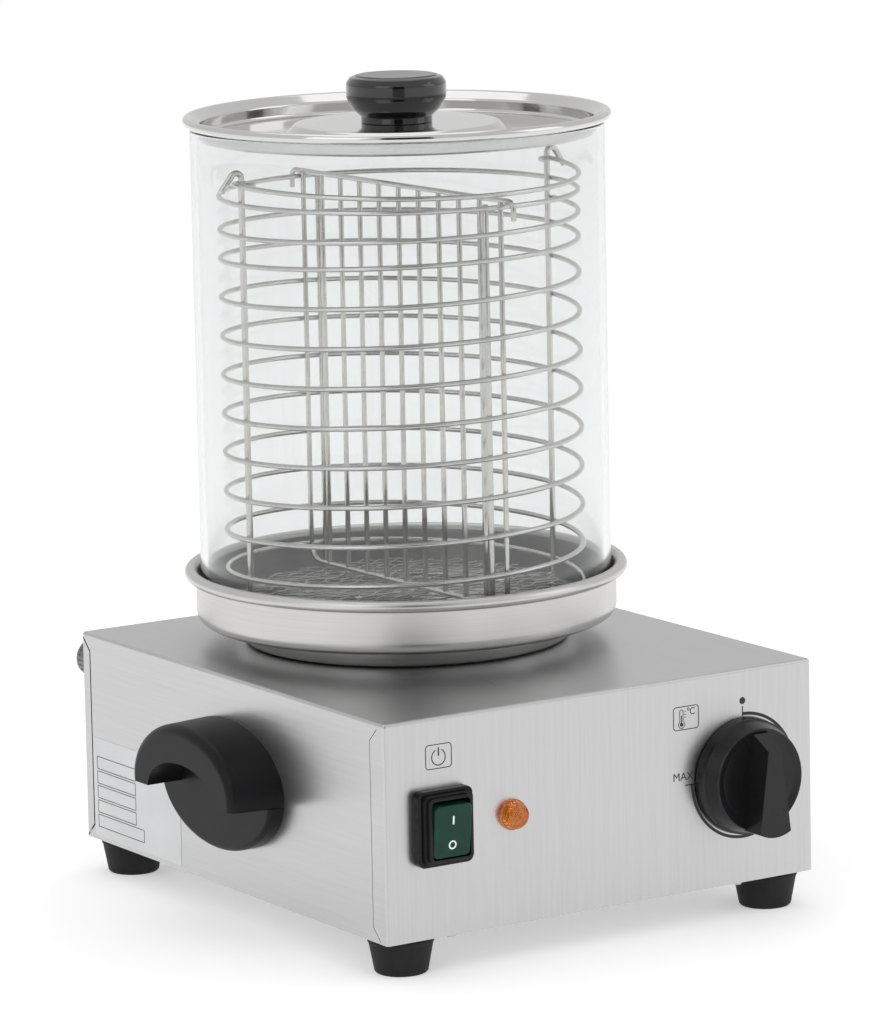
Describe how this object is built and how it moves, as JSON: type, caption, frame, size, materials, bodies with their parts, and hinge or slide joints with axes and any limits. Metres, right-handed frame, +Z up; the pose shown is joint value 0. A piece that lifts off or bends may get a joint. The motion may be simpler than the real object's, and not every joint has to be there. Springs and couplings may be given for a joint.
{
  "type": "hot dog steamer",
  "caption": "Countertop hot dog steamer: steel base with thermostat and switch, water pan, glass tube, divided wire basket with bail and knobbed lid.",
  "frame": {"origin": "on the table under the feet, at the middle of the whole object's box seen from above", "axes": "+X to the right seen from the front, +Y from the controls to the back, +Z up"},
  "size_m": [0.294, 0.3272, 0.395],
  "materials": {
    "housing_steel": "satin brushed stainless sheet",
    "base_plate_steel": "plain steel sheet",
    "screw_steel": "bright plated screws and nuts",
    "foot_rubber": "matt black rubber",
    "handle_plastic": "satin black moulded plastic",
    "knob_plastic": "semi-gloss black moulded plastic",
    "shaft_steel": "turned steel",
    "heater_aluminium": "cast aluminium hot plate",
    "element_sheath": "heat-darkened steel tube",
    "thermostat_case": "pale moulded case",
    "switch_plastic": "black moulded plastic",
    "boot_rubber": "soft black rubber",
    "rocker_green": "translucent green plastic",
    "terminal_metal": "plated brass tabs",
    "lamp_amber": "translucent amber lens",
    "lamp_case": "black lamp case",
    "collar_metal": "grey satin metal",
    "button_plastic": "black plastic button",
    "gland_plastic": "black nylon",
    "gland_rubber": "black rubber seal",
    "wire_insulation": "silicone-covered leads",
    "label_foil": "silver foil plate",
    "pan_steel": "bright spun stainless sheet",
    "tube_glass": "clear glass",
    "lid_steel": "bright spun stainless sheet",
    "lid_knob_plastic": "gloss black phenolic",
    "inset_metal": "satin grey inset disc",
    "basket_wire": "bright drawn stainless wire",
    "screen_wire": "fine stainless wire"
  },
  "bodies": {
    "base": {"housing_shell": "housing_steel", "bottom_plate": "base_plate_steel", "heat_shield": "base_plate_steel", "element_clamp": "base_plate_steel", "bottom_screws": "screw_steel", "foot_screws": "screw_steel", "handle_screws": "screw_steel", "clamp_nuts": "screw_steel", "thermostat_screws": "screw_steel", "earth_stud": "screw_steel", "gland_locknut": "screw_steel", "terminal_screws": "screw_steel", "foot_front_left": "foot_rubber", "foot_front_right": "foot_rubber", "foot_rear_left": "foot_rubber", "foot_rear_right": "foot_rubber", "handle_left": "handle_plastic", "handle_right": "handle_plastic", "hot_plate": "heater_aluminium", "heating_element": "element_sheath", "thermostat_capillary": "element_sheath", "thermostat_body": "thermostat_case", "limiter_body": "thermostat_case", "terminal_block": "thermostat_case", "switch_frame": "switch_plastic", "switch_boot": "boot_rubber", "switch_terminals": "terminal_metal", "pilot_lamp_lens": "lamp_amber", "pilot_lamp_body": "lamp_case", "reset_collar": "collar_metal", "gland_body": "gland_plastic", "gland_nut": "gland_plastic", "gland_seal": "gland_rubber", "wiring": "wire_insulation", "rating_label": "label_foil"},
    "thermostat knob": {"thermostat_knob": "knob_plastic", "thermostat_shaft": "shaft_steel"},
    "switch rocker": {"rocker": "rocker_green"},
    "reset button": {"reset_button": "button_plastic"},
    "water pan": {"pan": "pan_steel"},
    "glass tube": {"glass_cylinder": "tube_glass"},
    "basket": {"basket_coil": "basket_wire", "basket_ring": "basket_wire", "basket_hook_posts": "basket_wire", "basket_plain_posts": "basket_wire", "basket_cross_wires": "basket_wire", "basket_screen": "screen_wire", "rack_frame": "basket_wire", "rack_bars": "basket_wire"},
    "bail": {"bail_handle": "basket_wire"},
    "lid": {"lid_pan": "lid_steel", "lid_knob": "lid_knob_plastic", "knob_disc": "inset_metal", "lid_screw": "screw_steel", "lid_washer": "screw_steel"}
  },
  "joints": [
    {"name": "thermostat_turn", "type": "hinge", "parent": "base", "child": "thermostat knob", "pos_m": [0.0802, -0.138, 0.0689], "axis": [0, 1, 0], "range_deg": [0, 270]},
    {"name": "rocker_tip", "type": "hinge", "parent": "base", "child": "switch rocker", "pos_m": [-0.0907, -0.1408, 0.0694], "axis": [-1, 0, 0], "range_deg": [0, 12]},
    {"name": "reset_press", "type": "slide", "parent": "base", "child": "reset button", "axis": [0, -1, 0], "range_m": [0, 0.0015], "stiffness_N_per_m": 400},
    {"name": "pan_lift", "type": "slide", "parent": "base", "child": "water pan", "axis": [0, 0, 1], "range_m": [0, 0.04]},
    {"name": "tube_lift", "type": "slide", "parent": "water pan", "child": "glass tube", "axis": [0, 0, 1], "range_m": [0, 0.26]},
    {"name": "basket_lift", "type": "slide", "parent": "glass tube", "child": "basket", "axis": [0, 0, 1], "range_m": [0, 0.26]},
    {"name": "bail_swing", "type": "hinge", "parent": "basket", "child": "bail", "pos_m": [0, 0.0285, 0.348], "axis": [-0.9976, 0.0698, 0], "range_deg": [0, 12]},
    {"name": "lid_lift", "type": "slide", "parent": "basket", "child": "lid", "axis": [0, 0, 1], "range_m": [0, 0.06]}
  ]
}
